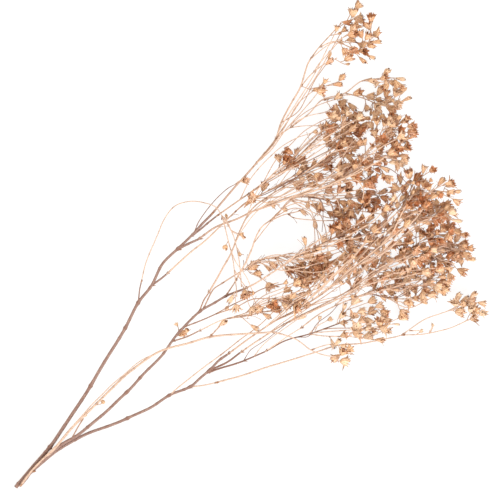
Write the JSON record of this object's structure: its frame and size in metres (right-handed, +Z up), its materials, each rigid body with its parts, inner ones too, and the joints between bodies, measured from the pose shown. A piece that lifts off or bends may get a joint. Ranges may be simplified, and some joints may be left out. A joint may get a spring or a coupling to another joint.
{
  "type": "dried gypsophila stem",
  "caption": "Dried flowering branch laid flat: woody forked stems that fan out into fine twigs with dense dry five-toothed calyxes.",
  "frame": {"origin": "on the surface that the branch lies on, under the middle of its bounding box", "axes": "+X along the branch from the cut end to the tips, +Z up from the surface, +Y towards the top spray"},
  "size_m": [0.5757, 0.3289, 0.0945],
  "materials": {
    "dark_stem": "dry mauve-brown bark, matt",
    "brown_stem": "dry tan-brown bark, matt",
    "pale_twig": "pale peach-tan dry twig, matt",
    "tan_heads": "papery tan calyxes and twigs, matt",
    "brown_heads": "papery red-brown calyxes and twigs, matt"
  },
  "bodies": {
    "root": {"main_stem": "dark_stem", "second_stem": "brown_stem", "twig_loop": "pale_twig", "drooping_spray": "pale_twig", "low_tip_spray": "pale_twig", "pale_spray": "tan_heads", "top_spray": "tan_heads", "top_side_spray": "tan_heads", "upper_spray": "tan_heads", "middle_pale_spray": "tan_heads", "lower_spray": "tan_heads", "right_middle_spray": "tan_heads", "crown_spray": "brown_heads", "middle_dark_spray": "brown_heads", "arch_spray": "brown_heads", "inner_spray": "brown_heads", "side_spray": "brown_heads", "right_high_spray": "brown_heads", "right_low_spray": "brown_heads"}
  },
  "joints": []
}
